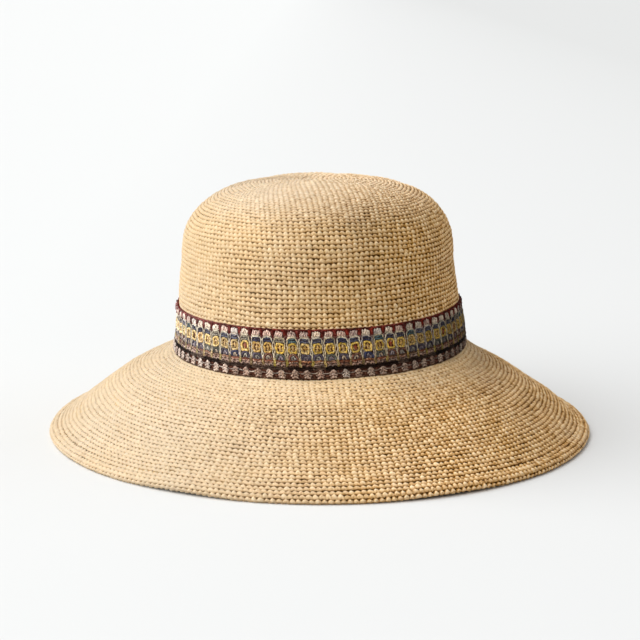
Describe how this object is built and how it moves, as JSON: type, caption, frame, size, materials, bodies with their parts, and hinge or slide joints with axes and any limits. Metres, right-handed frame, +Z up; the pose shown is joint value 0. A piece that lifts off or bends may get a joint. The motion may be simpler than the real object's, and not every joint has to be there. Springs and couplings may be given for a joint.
{
  "type": "straw sun hat",
  "caption": "Crocheted straw cloche hat with a rounded oval crown, a sloping wide brim with a rolled edge, and a patterned multicolour band.",
  "frame": {"origin": "centre of the brim's oval on the surface that the hat stands on, at the height of the brim's lowest edge", "axes": "+Z up through the crown, -Y towards the front of the head, +X towards the right of a viewer who faces the hat's front"},
  "size_m": [0.3214, 0.3586, 0.1487],
  "materials": {
    "straw": "natural raffia, crocheted in rounds, matt",
    "band": "crocheted cotton threads in dark red, cream, blue, yellow, brown and black rows, matt"
  },
  "bodies": {
    "root": {"crown": "straw", "brim": "straw", "brim_edge": "straw", "hatband": "band"}
  },
  "joints": []
}
